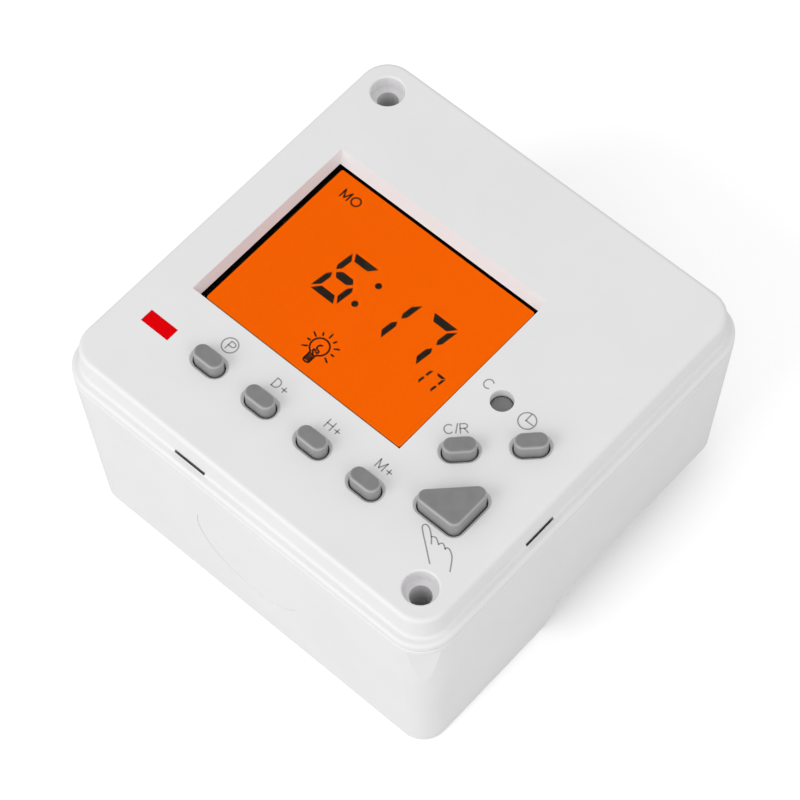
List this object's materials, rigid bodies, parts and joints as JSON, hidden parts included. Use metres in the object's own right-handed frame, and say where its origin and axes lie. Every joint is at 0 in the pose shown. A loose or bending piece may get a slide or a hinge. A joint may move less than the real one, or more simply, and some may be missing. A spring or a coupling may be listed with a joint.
{
  "type": "digital time switch",
  "caption": "Square digital time switch in its own box: lit display window, small grey keys, a triangular manual key, through holes for wall screws and a sprung clip for a mounting rail.",
  "frame": {"origin": "middle of the back, in the plane that lies on the wall", "axes": "+X to the right of the face as its legends read, +Y to the top of the face, +Z out of the face"},
  "size_m": [0.086, 0.086, 0.0531],
  "materials": {
    "white_case": "moulded, satin",
    "grey_key": "moulded, matte",
    "clear_window": "clear, polished",
    "display_glass": "polished, lit from behind",
    "grey_rubber": "matte",
    "orange_light_guide": "polished",
    "amber_led": "glossy",
    "red_window": "polished",
    "black_plastic": "moulded, matte",
    "circuit_board": "solder-resist, glossy",
    "bright_steel": "bright rolled",
    "plated_screw": "zinc-plated",
    "spring_steel": "drawn wire",
    "brass": "plated, satin",
    "aluminium_can": "drawn can",
    "blue_sleeve": "shrink sleeve",
    "blue_plastic": "moulded, glossy",
    "yellow_plastic": "dipped, glossy",
    "green_plastic": "moulded, matte",
    "brown_plastic": "moulded, matte",
    "ceramic_body": "fired, matte",
    "grey_clip": "moulded, satin"
  },
  "bodies": {
    "case": {"rear_housing": "white_case", "front_cover": "white_case", "window_lens": "clear_window", "lcd_glass": "display_glass", "elastomer_connectors": "grey_rubber", "light_guide": "orange_light_guide", "backlight_leds": "amber_led", "lcd_frame": "black_plastic", "display_board": "circuit_board", "key_switches": "black_plastic", "indicator_lens": "red_window", "indicator_led": "red_window", "timer_chip": "black_plastic", "watch_crystal": "bright_steel", "backup_cell": "blue_sleeve", "backup_cell_strap": "bright_steel", "board_sockets": "black_plastic", "riser_board": "circuit_board", "power_board": "circuit_board", "relay": "blue_plastic", "relay_transistor": "black_plastic", "terminal_block": "green_plastic", "terminal_clamps": "brass", "terminal_screws": "plated_screw", "film_capacitor": "yellow_plastic", "smoothing_capacitor": "aluminium_can", "varistor": "blue_plastic", "fuse": "brown_plastic", "rectifier_diodes": "black_plastic", "dropper_resistor": "ceramic_body", "display_board_screws": "plated_screw", "power_board_screws": "plated_screw", "rail_clip_spring": "spring_steel"},
    "program_button": {"program_key": "grey_key", "program_plunger": "black_plastic"},
    "day_button": {"day_key": "grey_key", "day_plunger": "black_plastic"},
    "hour_button": {"hour_key": "grey_key", "hour_plunger": "black_plastic"},
    "minute_button": {"minute_key": "grey_key", "minute_plunger": "black_plastic"},
    "recall_button": {"recall_key": "grey_key", "recall_plunger": "black_plastic"},
    "clock_button": {"clock_key": "grey_key", "clock_plunger": "black_plastic"},
    "manual_button": {"manual_key": "grey_key", "manual_plunger": "black_plastic"},
    "reset_button": {"reset_key": "grey_key", "reset_plunger": "black_plastic"},
    "clip": {"rail_clip": "grey_clip"}
  },
  "joints": [
    {"name": "program_press", "type": "slide", "parent": "case", "child": "program_button", "axis": [0, 0, -1], "range_m": [0, 0.0005], "stiffness_N_per_m": 600, "springref_m": -0.0015},
    {"name": "day_press", "type": "slide", "parent": "case", "child": "day_button", "axis": [0, 0, -1], "range_m": [0, 0.0005], "stiffness_N_per_m": 600, "springref_m": -0.0015},
    {"name": "hour_press", "type": "slide", "parent": "case", "child": "hour_button", "axis": [0, 0, -1], "range_m": [0, 0.0005], "stiffness_N_per_m": 600, "springref_m": -0.0015},
    {"name": "minute_press", "type": "slide", "parent": "case", "child": "minute_button", "axis": [0, 0, -1], "range_m": [0, 0.0005], "stiffness_N_per_m": 600, "springref_m": -0.0015},
    {"name": "recall_press", "type": "slide", "parent": "case", "child": "recall_button", "axis": [0, 0, -1], "range_m": [0, 0.0005], "stiffness_N_per_m": 600, "springref_m": -0.0015},
    {"name": "clock_press", "type": "slide", "parent": "case", "child": "clock_button", "axis": [0, 0, -1], "range_m": [0, 0.0005], "stiffness_N_per_m": 600, "springref_m": -0.0015},
    {"name": "manual_press", "type": "slide", "parent": "case", "child": "manual_button", "axis": [0, 0, -1], "range_m": [0, 0.0005], "stiffness_N_per_m": 600, "springref_m": -0.0015},
    {"name": "reset_press", "type": "slide", "parent": "case", "child": "reset_button", "axis": [0, 0, -1], "range_m": [0, 0.0005], "stiffness_N_per_m": 600, "springref_m": -0.0015},
    {"name": "rail_clip_slide", "type": "slide", "parent": "case", "child": "clip", "axis": [0, -1, 0], "range_m": [0, 0.0025], "stiffness_N_per_m": 800, "springref_m": -0.003, "deforming": ["rail_clip_spring"]}
  ]
}
